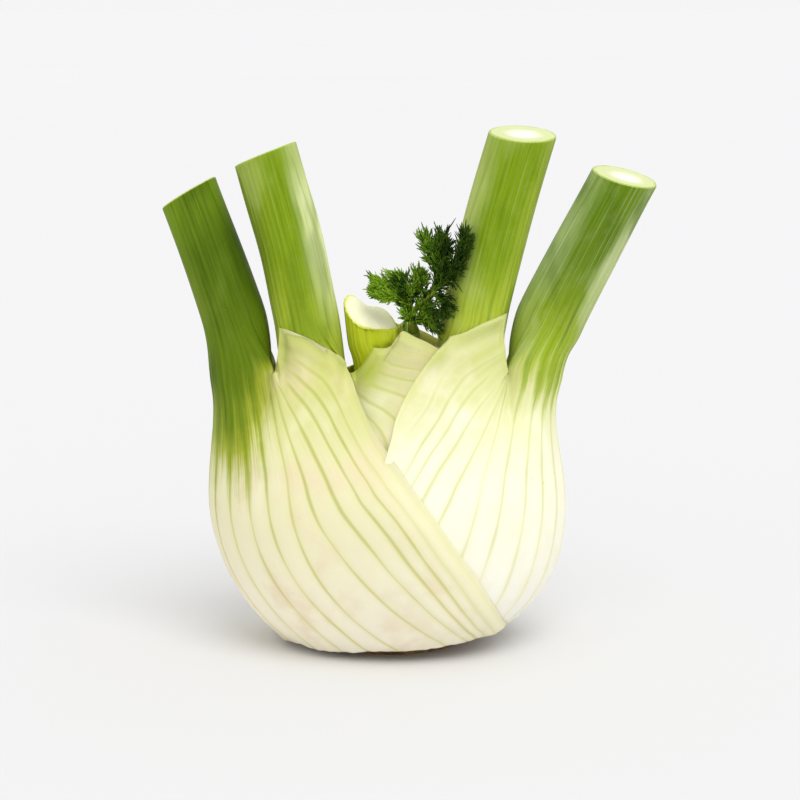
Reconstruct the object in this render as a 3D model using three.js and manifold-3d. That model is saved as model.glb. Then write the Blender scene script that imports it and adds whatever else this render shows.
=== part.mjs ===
// A fresh fennel bulb, trimmed for the kitchen: five overlapping leaves, each one a fleshy sheath
// that rises into its cut stalk, a young feathery frond in the middle, and the trimmed root plate.
// Millimetres, +Z up. The origin is the middle of the flat cut under the root plate. The bulb is
// flattened, as fennel is: its stalks stand in a fan along X, and -Y is the front.
import * as THREE from "three";
import Module from "manifold-3d";

const wasm = await Module();
wasm.setup();

// The bulb's outline: at each height, how far it goes left, right and to the front.
const OUTLINE = [
  [0, 28, 28, 24], [3, 32, 32, 27], [7.5, 36.8, 37.4, 30.6], [13, 41.2, 42.7, 33.8],
  [19, 44.8, 46.6, 36.3], [25, 47.4, 48.8, 38.1], [32, 49.4, 50, 39.2], [40, 50.4, 50.4, 39.3],
  [48, 50.2, 49.7, 37.6], [55, 49.6, 48.6, 34.2], [62, 48.8, 47.6, 28.9], [69, 48.5, 47.6, 22.3],
  [77, 49.3, 49.2, 16.2], [84, 49.3, 49.2, 14.6], [91, 49.3, 49.2, 13.6], [96, 49.3, 49.2, 13.4],
];
const NOTCH_Z = 77; // where the stalks part from the sheaths
const CORE_X = 7.5; // the young frond leaves the bulb this far right of the middle

// Layers: every sheath clasps the next one. Flesh is thick on the leaf's own side, and the wings
// that go round the front and back are thin.
const WING = 1.75; // a wing with the clearance under it
const CLEARANCE = 0.68;
const FOOT_Z = 2; // the outer sheaths end this far above the table on the left
// How much higher they end at each x.
const FOOT_RISE = [[-18, 0], [-8, 0.8], [2, 1.5], [12, 2.1], [18, 2.9], [24, 4.2], [31, 6.4]];
const PLATE_TOP_Z = 8.4;
const INNER_FOOT_Z = 8.8; // the inner sheaths stand on the root plate
const BORE = 3.4; // the hole down the middle that the young frond stands in

// Ribs: the grooves between the veins.
const STALK_GROOVE = 0.5;
const SHEATH_GROOVE = 0.35;

const clamp = (x, low, high) => Math.min(high, Math.max(low, x));
const mix = (a, b, t) => a + (b - a) * t;
const radians = THREE.MathUtils.degToRad;
const range = (count) => [...Array(count).keys()];
const point = (x, y, z) => new THREE.Vector3(x, y, z);

function ease(from, to, x) {
  const t = clamp((x - from) / (to - from), 0, 1);
  return t * t * (3 - 2 * t);
}

// A smooth line through [x, y] points in order of x.
function through(points, x) {
  const last = points.length - 1;
  if (x <= points[0][0]) return points[0][1];
  if (x >= points[last][0]) return points[last][1];
  let i = 0;
  while (points[i + 1][0] < x) i++;
  const slope = (a, b) => (points[b][1] - points[a][1]) / (points[b][0] - points[a][0]);
  const width = points[i + 1][0] - points[i][0];
  const t = (x - points[i][0]) / width;
  const start = slope(Math.max(i - 1, 0), i + 1) * width;
  const end = slope(i, Math.min(i + 2, last)) * width;
  return (
    points[i][1] * (2 * t ** 3 - 3 * t ** 2 + 1) + start * (t ** 3 - 2 * t ** 2 + t) +
    points[i + 1][1] * (3 * t ** 2 - 2 * t ** 3) + end * (t ** 3 - t ** 2)
  );
}

// The leaves from the outside in. side is -1 for a left leaf. flesh is its thickness at the foot,
// in the belly and at the notch. path is the stalk's middle line as [z, x], base is half its depth
// at the notch, and radius is its radius above that and at the top. cut is how far its end slopes
// down to the right and to the back. margin is the free edge of the sheath in front as [z, x], up
// to the top of the flap that clasps the next stalk, and backShift is how much further right it is
// behind.
const LEAVES = [
  {
    name: "outer_left_leaf", side: -1, flesh: [5, 9, 17.8], foot: FOOT_Z, wing: 12,
    path: [[77, -40.2], [84, -41], [91, -42.5], [98, -44.7], [112, -49.4], [126.8, -54.8]],
    base: 12.2, radius: [9.1, 8.4], lean: 0.03, cut: [-31, 5], backShift: -5,
    margin: [
      [2, 29], [6, 31], [11.8, 31.1], [17.9, 28.7], [26.2, 24.1], [34.1, 18.9], [41.3, 14.3],
      [47.1, 10], [51.5, 6.5], [56.5, 2.9], [62.7, -2.2], [71, -7], [78, -9.8], [82.3, -12.9],
      [85.4, -17.7], [88, -22.5], [90, -29.6],
    ],
  },
  {
    name: "outer_right_leaf", side: 1, flesh: [5, 9, 16], foot: FOOT_Z, wing: 12,
    path: [[77, 41.2], [84, 42.6], [91, 45.2], [98, 48.4], [112, 55.4], [131.5, 65.4]],
    base: 12.2, radius: [9.6, 8.9], lean: -0.05, cut: [14, -11], backShift: 4,
    margin: [
      [2, -21], [9, -24], [25, -14], [38, -8], [50, -3], [61, 1], [66.7, 2.5], [72, 5.1], [78.6, 9.3],
      [83, 12.6], [86.6, 16.3], [89, 21], [91.6, 26.1], [94, 33],
    ],
  },
  {
    name: "inner_left_leaf", side: -1, flesh: [8, 12, 18.8], foot: INNER_FOOT_Z, wing: 6,
    path: [[77, -20.7], [84, -21.3], [91, -22.2], [98, -23.6], [112, -26.5], [126, -30.2], [137.5, -33.4]],
    base: 10.4, radius: [9.1, 9], lean: 0, cut: [-22, 4], backShift: 0,
    margin: [
      [9, 8], [20, 12], [35, 15], [50, 18], [60, 20], [70, 21], [77, 20.5], [83.8, 15.5], [86.3, 11.5],
      [87.7, 8.1], [89.4, 4.2], [87.6, 1.6], [87.2, -1], [88.4, -3.6],
    ],
  },
  {
    name: "inner_right_leaf", side: 1, flesh: [8, 12, 18.2], foot: INNER_FOOT_Z, wing: 4,
    path: [[77, 22.7], [84, 23.2], [91, 24.2], [98, 25.5], [112, 28.9], [126, 32.5], [143.1, 37.4]],
    base: 9.8, radius: [9, 9.1], lean: -0.02, cut: [4, -11], backShift: 0,
    margin: [[9, -6], [25, -8], [50, -6], [66, 2], [76, 9], [81, 12], [84, 15]],
  },
  {
    name: "centre_leaf", side: -1, flesh: [6, 10, 11.5], foot: INNER_FOOT_Z, wing: 4,
    path: [[77, -2.9], [82, -3.1], [87, -3.8], [92, -4.3]],
    base: 7.2, radius: [6.8, 6.8], lean: 0, cut: [28, -40], backShift: 0, stub: true,
    margin: [[9, 4], [30, 5], [60, 9], [74, 12], [80, 9]],
  },
];
const stalkTop = (leaf) => leaf.path[leaf.path.length - 1][0];
const EDGES = [1, 2, 3].map((i) => OUTLINE.map((row) => [row[0], row[i]]));

// The boundary round leaf k at height z: how far it goes left, right and to the front.
function boundary(k, z) {
  const [left, right, depth] = EDGES.map((points) => through(points, z));
  const edge = { left, right: right + WING, depth };
  edge.core = CORE_X * ease(20, NOTCH_Z, z);
  edge.power = mix(2, 2.8, ease(50, NOTCH_Z, z));
  if (k === LEAVES.length) return { ...edge, left: BORE - edge.core, right: BORE + edge.core, depth: BORE };
  for (const leaf of LEAVES.slice(0, k)) {
    const [low, belly, notch] = leaf.flesh;
    const flesh = mix(mix(low, belly, ease(0, 25, z)), notch, ease(40, NOTCH_Z, z));
    edge.left -= leaf.side < 0 ? flesh : WING;
    edge.right -= leaf.side > 0 ? flesh : WING;
    edge.depth -= WING;
  }
  for (const side of z > NOTCH_Z ? [-1, 1] : []) {
    const next = LEAVES.slice(k).find((leaf) => leaf.side === side);
    const shift = next ? side * (through(next.path, z) - next.path[0][1]) : 0;
    if (side < 0) edge.left += shift;
    else edge.right += shift;
  }
  return edge;
}

// How far a boundary reaches from its middle on one side.
const reach = (edge, side) => (side < 0 ? edge.left + edge.core : edge.right - edge.core);

// A point on a boundary. turn is the angle from the leaf's own side, and 90 degrees is the front.
function onBoundary(edge, side, turn, z, grow = 0) {
  const bend = (v) => Math.sign(v) * Math.abs(v) ** (2 / edge.power);
  const c = Math.cos(turn);
  const wide = reach(edge, c >= 0 ? side : -side) + grow;
  return point(edge.core + side * wide * bend(c), -(edge.depth + grow) * bend(Math.sin(turn)), z);
}

// The turn at which a boundary passes x, and how far forward it is there.
function turnAt(edge, side, x) {
  const out = side * (x - edge.core);
  const share = clamp(Math.abs(out) / reach(edge, out >= 0 ? side : -side), 0, 0.995);
  return Math.acos(Math.sign(out) * share ** (edge.power / 2));
}
function frontAt(edge, x, grow) {
  const share = Math.abs(x - edge.core) / (reach(edge, x < edge.core ? -1 : 1) + grow);
  return share < 1 ? (edge.depth + grow) * (1 - share ** edge.power) ** (1 / edge.power) : 0;
}

// Where the crease beside the stalk runs down the sheath, as a turn.
function creaseTurn(k, z) {
  const { side } = LEAVES[k];
  const next = boundary(k + 1, NOTCH_Z);
  const gap = side * ((side < 0 ? next.left : next.right) + 0.4);
  return mix(radians(82), turnAt(boundary(k, NOTCH_Z), side, gap), ease(-25, NOTCH_Z, z) ** 0.8);
}

// The free margin as height and x, at share t of the way from the foot to the flap's top corner.
for (const leaf of LEAVES) {
  let way = 0;
  leaf.marginHeights = [];
  leaf.marginReach = leaf.margin.map(([z, x], i) => {
    const [lastZ, lastX] = leaf.margin[Math.max(i - 1, 0)];
    way += Math.max(Math.abs(z - lastZ), 0.3 * Math.abs(x - lastX));
    leaf.marginHeights.push([way, z]);
    return [way, x];
  });
}
function marginAt(leaf, t) {
  const way = t * leaf.marginReach.at(-1)[0];
  return [through(leaf.marginHeights, way), through(leaf.marginReach, way)];
}

// A place on a wing as turn and height. w is 0 at the crease and 1 at the free margin, and t is 0
// at the foot and 1 at the top. The veins, lines of even w, all bend in to the notch at the top.
function wingPlace(k, w, t, face) {
  const leaf = LEAVES[k];
  const creaseZ = mix(leaf.foot, NOTCH_Z, t);
  const [marginZ, marginX] = marginAt(leaf, 1 - (1 - t) ** 1.35);
  const shift = face < 0 ? leaf.backShift * (1 - ease(70, 88, marginZ)) : 0;
  const margin = turnAt(boundary(k, marginZ), leaf.side, marginX + shift);
  const rise = w ** (1 + 1.2 * ease(0.6, 1, t));
  return { turn: face * mix(creaseTurn(k, creaseZ), margin, w), z: mix(creaseZ, marginZ, rise) };
}

// The height of a place on a sheath, with the cut lower edge of the outer ones rising to the right.
function raised(k, turn, z) {
  const { side, foot } = LEAVES[k];
  const rise = k < 2 ? through(FOOT_RISE, side * Math.cos(turn) * 30) : 0;
  return z + rise * Math.max(0, 1 - (z - foot) / 18) ** 2;
}

// The outer skin. Near the notch it parts into the stalk's own round base and the flap that lies
// on the next stalk, with a crease between them.
function skin(k, turn, low, groove = 0) {
  const { side } = LEAVES[k];
  const z = raised(k, turn, low);
  const edge = boundary(k, z);
  const next = boundary(k + 1, z);
  const p = onBoundary(edge, side, turn, z, -groove);
  const parted = ease(54, NOTCH_Z, z);
  const out = side < 0 ? edge.left : edge.right;
  const gap = side < 0 ? next.left : next.right;
  const across = (Math.abs(p.x) - (out + gap) / 2) / ((out - gap) / 2 + 0.3);
  const round = Math.sqrt(Math.max(0, 1 - across ** 2)) * (1 - ease(0, 4, z - NOTCH_Z));
  const base = side * p.x > 0 ? LEAVES[k].base * round : 0;
  const flap = frontAt(next, p.x, WING - groove);
  const target = Math.min((base ** 6 + flap ** 6) ** (1 / 6), edge.depth + 0.5);
  p.y = Math.sign(p.y) * mix(Math.abs(p.y), target, parted);
  return p;
}

// The inner skin under a place on the outer one.
function lining(k, turn, low) {
  const { side } = LEAVES[k];
  const z = raised(k, turn, low);
  const outer = boundary(k, z);
  const inner = boundary(k + 1, z);
  const c = Math.cos(turn);
  const wider = (reach(outer, side) / reach(inner, side)) ** (outer.power / 2);
  const under = c > 0 ? Math.acos(clamp(c * wider, 0, 0.97)) * Math.sign(turn) : turn;
  return onBoundary(inner, side, under, z, CLEARANCE);
}

// The middle of a stalk at height z.
function stalkMiddle(leaf, z) {
  return point(through(leaf.path, z), leaf.lean * (z - NOTCH_Z), z);
}

// A point on a stalk. turn is the angle from its own side, and 90 degrees is the front.
function stalkPoint(leaf, z, turn, groove) {
  const top = stalkTop(leaf);
  const here = stalkMiddle(leaf, z);
  const high = Math.min(z + 1, top);
  const along = stalkMiddle(leaf, high).sub(stalkMiddle(leaf, high - 2)).normalize();
  const front = point(0, -1, 0);
  const own = new THREE.Vector3().crossVectors(front, along).multiplyScalar(-leaf.side).normalize();
  const r = mix(leaf.radius[0], leaf.radius[1], ease(NOTCH_Z, top, z)) - groove;
  const waist = leaf.stub ? 1 - 0.3 * ease(82, 90, z) * Math.sin(turn - 0.15) ** 8 : 1;
  const p = here.clone().addScaledVector(own, Math.cos(turn) * r * (leaf.stub ? 1.08 : 1));
  p.addScaledVector(front, Math.sin(turn) * r * waist * (leaf.stub ? 0.9 : 1));
  if (z < top) return p;
  const [right, back] = leaf.cut.map(radians);
  const normal = point(Math.sin(right), Math.sin(back), Math.cos(right)).normalize();
  return p.addScaledVector(along, here.sub(p).dot(normal) / along.dot(normal));
}

// Triangles between two rows of vertices, which may have different counts.
function stitch({ points, faces }, first, second, flip = false) {
  const span = (a, b) => (a === undefined || b === undefined ? Infinity : points[a].distanceTo(points[b]));
  let i = 0;
  let j = 0;
  while (i < first.length - 1 || j < second.length - 1) {
    const onFirst = span(first[i + 1], second[j]) <= span(first[i], second[j + 1]);
    const face = onFirst ? [first[i], first[++i], second[j]] : [first[i], second[j + 1], second[j++]];
    faces.push(...(flip ? face.reverse() : face));
  }
}

// Two rows of a sheath stitched part by part: a wing, the middle, the other wing.
function stitchParts(shell, first, second, wings, flip = false) {
  const parts = (row, wing) => [row.slice(0, wing + 1), row.slice(wing, -wing), row.slice(-wing - 1)];
  const seconds = parts(second, wings[1]);
  parts(first, wings[0]).forEach((part, i) => stitch(shell, part, seconds[i], flip));
}

// The heights of the rows a sheath is made of, from foot to notch.
const ROW_Z = [0, 3, 7.5, 13, 19, 26, 33.5, 40.5, 47, 53.5, 60, 66.5, 72, NOTCH_Z];

// One leaf as a closed skin: the outer and inner faces of its sheath, the stalk that closes into a
// tube above the notch, and the edges between them. Each rib is two columns.
function leafGeometry(k) {
  const leaf = LEAVES[k];
  const fine = k < 2;
  const shell = { points: [], faces: [] };
  const add = (p) => shell.points.push(p) - 1;
  const rows = ROW_Z.map((z) => z / NOTCH_Z);
  const fewer = rows.filter((t, j) => fine || j % 2 === 0 || t > (leaf.stub ? 0.95 : 0.6));
  const wing = fine ? leaf.wing * 2 : leaf.wing;
  const lined = [10, 10, 6, 5, 4][k];
  const hollow = leaf.stub ? 8 : 14;
  const stalk = leaf.stub ? 20 : 24;
  const grooveAt = (i, depth) => (i % 2 ? 0 : depth);

  const outer = fewer.map((t) => {
    const z = mix(leaf.foot, NOTCH_Z, t);
    const middle = fine || t === 1 ? stalk : 12;
    const depth = SHEATH_GROOVE * (fine ? ease(0, 0.08, t) : k === 2 ? ease(0.75, 0.85, t) : 0);
    return range(wing * 2 + middle + 1).map((i) => {
      const across = i - wing - middle / 2;
      const w = (Math.abs(across) - middle / 2) / wing;
      if (w <= 0) return add(skin(k, (across / (middle / 2)) * creaseTurn(k, z), z, grooveAt(i, depth)));
      const place = wingPlace(k, w, t, Math.sign(across));
      return add(skin(k, place.turn, place.z, grooveAt(i, depth) * (1 - ease(0.7, 0.85, w))));
    });
  });
  const inner = (leaf.stub ? fewer : rows).map((t) => {
    const z = mix(leaf.foot, NOTCH_Z, t);
    const next = boundary(k + 1, z);
    const middle = turnAt(next, leaf.side, lining(k, creaseTurn(k, z), z).x);
    return range(lined * 2 + hollow + 1).map((i) => {
      const across = i - lined - hollow / 2;
      const w = (Math.abs(across) - hollow / 2) / lined;
      if (w < 0) {
        const turn = (middle * across) / (hollow / 2);
        const high = raised(k, turn, z);
        return add(onBoundary(boundary(k + 1, high), leaf.side, turn, high, CLEARANCE));
      }
      const place = wingPlace(k, w, t, Math.sign(across));
      return add(lining(k, place.turn, place.z));
    });
  });

  outer.slice(1).forEach((row, j) => stitchParts(shell, outer[j], row, [wing, wing]));
  inner.slice(1).forEach((row, j) => stitchParts(shell, inner[j], row, [lined, lined], true));
  stitchParts(shell, outer[0], inner[0], [wing, lined], true);
  const column = (grid, at) => grid.map((row) => row.at(at));
  stitch(shell, column(outer, -1), column(inner, -1), true);
  stitch(shell, column(outer, 0), column(inner, 0));
  const [outerTop, innerTop] = [outer.at(-1), inner.at(-1)];
  stitch(shell, outerTop.slice(0, wing + 1), innerTop.slice(0, lined + 1));
  stitch(shell, outerTop.slice(-wing - 1), innerTop.slice(-lined - 1));

  // The stalk: rings that start on the sheath's top row and round themselves off above it.
  const base = [...outerTop.slice(wing, -wing), ...innerTop.slice(lined, -lined).reverse()];
  const opening = radians(leaf.stub ? 100 : 112); // from the stalk's own side to its creases
  const levels = leaf.stub ? [0.25, 0.5, 0.75, 1] : [0.045, 0.1, 0.17, 0.25, 0.42, 0.6, 0.8, 1];
  const foot = stalkMiddle(leaf, NOTCH_Z);
  let ring = base;
  for (const level of levels) {
    const z = mix(NOTCH_Z, stalkTop(leaf), level);
    const shift = stalkMiddle(leaf, z).sub(foot);
    const depth = leaf.stub ? 0 : STALK_GROOVE * ease(0, 6, z - NOTCH_Z);
    const next = base.map((at, i) => {
      const behind = i - stalk - 1;
      const turn = behind < 0
        ? -opening + (2 * opening * i) / stalk
        : opening + (behind / hollow) * (2 * Math.PI - 2 * opening);
      const rounded = stalkPoint(leaf, z, turn, grooveAt(i, depth));
      const rounding = ease(0, leaf.stub ? 9 : 15, z - NOTCH_Z);
      return add(shell.points[at].clone().add(shift).lerp(rounded, rounding));
    });
    stitch(shell, [...ring, ring[0]], [...next, next[0]]);
    ring = next;
  }
  closeWithFan(shell, ring);
  return geometryOf(shell);
}

function closeWithFan({ points, faces }, ring, flip = false) {
  const sum = ring.reduce((total, i) => total.add(points[i]), point(0, 0, 0));
  const hub = points.push(sum.divideScalar(ring.length)) - 1;
  ring.forEach((at, i) => {
    const face = [at, ring[(i + 1) % ring.length], hub];
    faces.push(...(flip ? face.reverse() : face));
  });
}

// A closed geometry from points and triangles, turned to face out.
function geometryOf({ points, faces }) {
  const geometry = new THREE.BufferGeometry().setFromPoints(points);
  let volume = 0;
  for (let i = 0; i < faces.length; i += 3) {
    const [a, b, c] = faces.slice(i, i + 3).map((v) => points[v]);
    volume += a.dot(new THREE.Vector3().crossVectors(b, c)) / 6;
  }
  geometry.setIndex(volume < 0 ? faces.reverse() : faces);
  geometry.computeVertexNormals();
  return geometry;
}

// A closed tube of rings round a bent line, which may end in a point.
function tube(line, radii, sides, twist = 0) {
  const shell = { points: [], faces: [] };
  let before;
  line.forEach((at, i) => {
    const along = line[Math.min(i + 1, line.length - 1)].clone().sub(line[Math.max(i - 1, 0)]).normalize();
    const up = Math.abs(along.z) > 0.9 ? point(0, 1, 0) : point(0, 0, 1);
    const aside = new THREE.Vector3().crossVectors(along, up).normalize();
    const ring = range(radii[i] > 0 ? sides : 1).map((s) => {
      const arm = aside.clone().applyAxisAngle(along, twist + (2 * Math.PI * s) / sides);
      return shell.points.push(at.clone().addScaledVector(arm, radii[i])) - 1;
    });
    if (!before) closeWithFan(shell, ring, true);
    else stitch(shell, [...before, before[0]], ring.length > 1 ? [...ring, ring[0]] : ring);
    before = ring;
  });
  if (before.length > 1) closeWithFan(shell, before);
  return geometryOf(shell);
}

function solidOf(geometry) {
  const vertProperties = new Float32Array(geometry.getAttribute("position").array);
  const triVerts = new Uint32Array(geometry.index.array);
  return new wasm.Manifold(new wasm.Mesh({ numProp: 3, vertProperties, triVerts }));
}

// The union of many solids, joined in pairs.
function joined(solids) {
  if (solids.length === 1) return solids[0];
  const half = solids.length >> 1;
  return joined(solids.slice(0, half)).add(joined(solids.slice(half)));
}

function geometryOfSolid(solid) {
  const { numProp, vertProperties, triVerts } = solid.getMesh();
  const points = range(vertProperties.length / numProp).map((i) => {
    return point(...vertProperties.slice(i * numProp, i * numProp + 3));
  });
  return geometryOf({ points, faces: [...triVerts] });
}

// The young frond: its stem, then its branches as bent lines, each with its radius at the start and
// end and how many threads it bears.
const STEM = [[7.5, 0, 8.8], [7.5, 0, 45], [7.5, 0, 84], [7.2, -1.5, 89], [6.7, -2.5, 93]];
const FROND = [
  { line: STEM, radius: [2.8, 1], threads: 0 },
  {
    line: [[6.7, -2.5, 93], [9.3, -4, 96.3], [12.4, -5.5, 99.4], [16.4, -8, 106]],
    radius: [0.9, 0.7], threads: 18,
  },
  {
    line: [[12.4, -5.5, 99.4], [14.6, -7.3, 107], [13.4, -7, 112.5], [12.4, -6.4, 116]],
    radius: [0.7, 0.4], threads: 32,
  },
  { line: [[14.6, -7.3, 107], [15.6, -7, 112], [16, -6.5, 116.5]], radius: [0.6, 0.4], threads: 20 },
  {
    line: [[16.4, -8, 106], [19.2, -9.4, 110], [21.4, -9.8, 114.5], [22.6, -10, 117.5]],
    radius: [0.7, 0.4], threads: 32,
  },
  { line: [[12.4, -5.5, 99.4], [15.6, -8, 98], [16.8, -8.8, 93.5]], radius: [0.6, 0.4], threads: 18 },
  {
    line: [[6.7, -2.5, 93], [3.1, -3, 98.2], [-0.6, -3, 101.4], [-3, -2.6, 103]],
    radius: [0.9, 0.4], threads: 30,
  },
  { line: [[3.1, -3, 98.2], [0, -4, 99.3], [-3, -4.6, 100]], radius: [0.6, 0.4], threads: 14 },
  {
    line: [[6.7, -2.5, 93], [6.9, -3.4, 98], [6.3, -3.8, 102.5], [5.6, -3.6, 105]],
    radius: [0.8, 0.4], threads: 24,
  },
  { line: [[6.9, -3.4, 98], [9, -4.6, 102], [10, -5, 104.5]], radius: [0.6, 0.4], threads: 18 },
  { line: [[7, -1.8, 90.5], [9.3, -4.4, 91], [12.5, -5.4, 90]], radius: [0.6, 0.4], threads: 16 },
  { line: [[6.9, -2, 91], [5.9, -4.6, 92], [5.4, -5.8, 90.5]], radius: [0.6, 0.4], threads: 10 },
];
const THREAD_RADIUS = 0.38;
const THREAD_LENGTH = 6.4;

// A repeatable series of numbers from 0 to 1.
function series(seed) {
  let state = seed;
  return () => (state = (state * 16807) % 2147483647) / 2147483647;
}

// Whether a point is free of the right stalk, the cut stub and the sheaths round the frond.
function clearOfLeaves(p) {
  const stalk = stalkMiddle(LEAVES[3], p.z);
  if (Math.hypot((p.x - stalk.x) * 0.97, p.y - stalk.y) < 9.9) return false;
  if (p.x < 3.6 && p.z < 101 - (p.x + 9) * 0.35 && Math.abs(p.y) < 8) return false;
  return p.z > 93 || (Math.abs(p.y) < 6.2 && p.z > 86 && p.x > 4.5);
}

function frondGeometry() {
  const random = series(41);
  const parts = [];
  for (const { line, radius, threads } of FROND) {
    const curve = new THREE.CatmullRomCurve3(line.map((p) => point(...p)));
    const steps = threads ? 6 : 8;
    const axis = curve.getPoints(steps);
    parts.push(tube(axis, axis.map((_, i) => mix(radius[0], radius[1], i / steps)), 6));
    for (const i of range(threads)) {
      const u = mix(0.12, 1, (i + 0.5) / threads);
      const root = curve.getPointAt(u);
      const along = curve.getTangentAt(u);
      const way = new THREE.Vector3().crossVectors(along, point(0.3, 1, 0.2)).normalize();
      way.applyAxisAngle(along, i * 2.4 + random() * 0.5).multiplyScalar(0.9 - 0.5 * u * random());
      way.addScaledVector(along, 0.6 + 0.5 * u).normalize();
      const reachOut = THREAD_LENGTH * mix(0.8, 1.15, random());
      const [middle, tip] = [0.5, 1].map((part) => root.clone().addScaledVector(way, reachOut * part));
      if (!clearOfLeaves(middle) || !clearOfLeaves(tip)) continue;
      parts.push(tube([root, tip], [THREAD_RADIUS, 0], 3, random() * 2));
    }
  }
  return geometryOfSolid(joined(parts.map(solidOf)));
}

// The trimmed root plate: corky and uneven round its side, flat underneath.
function rootPlateGeometry() {
  const random = series(9);
  const shell = { points: [], faces: [] };
  const around = 36;
  const levels = [[0, -1.4], [0.8, -0.3], [3, 0], [6, 0], [PLATE_TOP_Z, -0.6]];
  let before;
  for (const [z, inset] of levels) {
    const edge = boundary(2, z);
    const ring = range(around).map((i) => {
      const dent = z > 0 && z < PLATE_TOP_Z ? -0.5 * random() : 0;
      const rim = onBoundary(edge, 1, (2 * Math.PI * i) / around, z, inset - 0.4 + dent);
      return shell.points.push(rim) - 1;
    });
    if (before) stitch(shell, [...before, before[0]], [...ring, ring[0]]);
    else closeWithFan(shell, ring, true);
    before = ring;
  }
  closeWithFan(shell, before);
  return geometryOf(shell);
}

const group = new THREE.Group();

function place(name, geometry, color, roughness) {
  const material = new THREE.MeshStandardMaterial({ color, roughness, metalness: 0 });
  const mesh = new THREE.Mesh(geometry, material);
  mesh.name = name;
  group.add(mesh);
}

const LEAF_COLORS = [0xc9d48a, 0xdde2b0, 0xc3d27c, 0xc6d584, 0xd6dd98];
LEAVES.forEach((leaf, k) => place(leaf.name, leafGeometry(k), LEAF_COLORS[k], 0.45));
place("frond_sprig", frondGeometry(), 0x2f5a1c, 0.6);
place("root_plate", rootPlateGeometry(), 0xa58a62, 0.85);

export default group;
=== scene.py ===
import math
import random
from functools import reduce
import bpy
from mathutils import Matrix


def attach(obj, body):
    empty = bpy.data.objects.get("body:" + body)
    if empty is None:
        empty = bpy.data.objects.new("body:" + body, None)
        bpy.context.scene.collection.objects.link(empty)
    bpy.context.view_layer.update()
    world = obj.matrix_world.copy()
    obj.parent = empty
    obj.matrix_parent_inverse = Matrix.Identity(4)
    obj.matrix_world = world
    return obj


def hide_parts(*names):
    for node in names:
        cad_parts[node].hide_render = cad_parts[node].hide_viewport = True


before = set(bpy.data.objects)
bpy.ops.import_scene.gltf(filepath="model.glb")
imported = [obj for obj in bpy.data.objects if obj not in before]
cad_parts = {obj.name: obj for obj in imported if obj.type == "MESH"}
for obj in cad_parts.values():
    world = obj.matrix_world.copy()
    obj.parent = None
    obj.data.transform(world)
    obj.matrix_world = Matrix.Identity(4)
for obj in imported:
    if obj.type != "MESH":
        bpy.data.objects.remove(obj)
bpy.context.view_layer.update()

from types import SimpleNamespace

import bpy
import numpy as np
from mathutils import Matrix, Vector

# A fresh fennel bulb. The forms below are in millimetres and are the ones the solids are made of.
# -Y is the front, and the origin is the middle of the flat cut under the root plate.
MM = 0.001

# The bulb's outline: at each height, how far it goes left, right and to the front.
OUTLINE = [
    (0, 28, 28, 24), (3, 32, 32, 27), (7.5, 36.8, 37.4, 30.6), (13, 41.2, 42.7, 33.8),
    (19, 44.8, 46.6, 36.3), (25, 47.4, 48.8, 38.1), (32, 49.4, 50, 39.2), (40, 50.4, 50.4, 39.3),
    (48, 50.2, 49.7, 37.6), (55, 49.6, 48.6, 34.2), (62, 48.8, 47.6, 28.9), (69, 48.5, 47.6, 22.3),
    (77, 49.3, 49.2, 16.2), (84, 49.3, 49.2, 14.6), (91, 49.3, 49.2, 13.6), (96, 49.3, 49.2, 13.4),
]
LEFT_EDGE, RIGHT_EDGE, FRONT_EDGE = ([(row[0], row[i]) for row in OUTLINE] for i in (1, 2, 3))
NOTCH_Z = 77  # where the stalks part from the sheaths
CORE_X = 7.5  # the young frond leaves the bulb this far right of the middle
BORE = 3.4  # the radius of the hollow that its stem stands in
WING = 1.75  # a sheath's wing with the clearance under it
CLEARANCE = 0.68  # a sheath's lining stays this far outside the next leaf
MARGIN_THIN = 0.36  # skin and lining each draw in this far towards a free edge
FAR = 30.0  # stands for a place that is nowhere near a free edge
FOOT_Z = 2  # the outer sheaths end this far above the table on the left, and higher at each x
FOOT_RISE = [(-18, 0), (-8, 0.8), (2, 1.5), (12, 2.1), (18, 2.9), (24, 4.2), (31, 6.4)]
INNER_FOOT_Z = 8.8  # where the inner leaves end
SKIN, CUT, WALL = 0, 1, 2  # the looks of a face


def leaf_of(name, side, **own):
    """A leaf's measures, as changes to those that most leaves share."""
    shared = dict(
        foot=INNER_FOOT_Z, lean=0, back_shift=0, stub=False, drift=0, green_to=(0.95, 1.35), swollen=0.1
    )
    return SimpleNamespace(name=name, side=side, top=own["path"][-1][0], **{**shared, **own})


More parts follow.
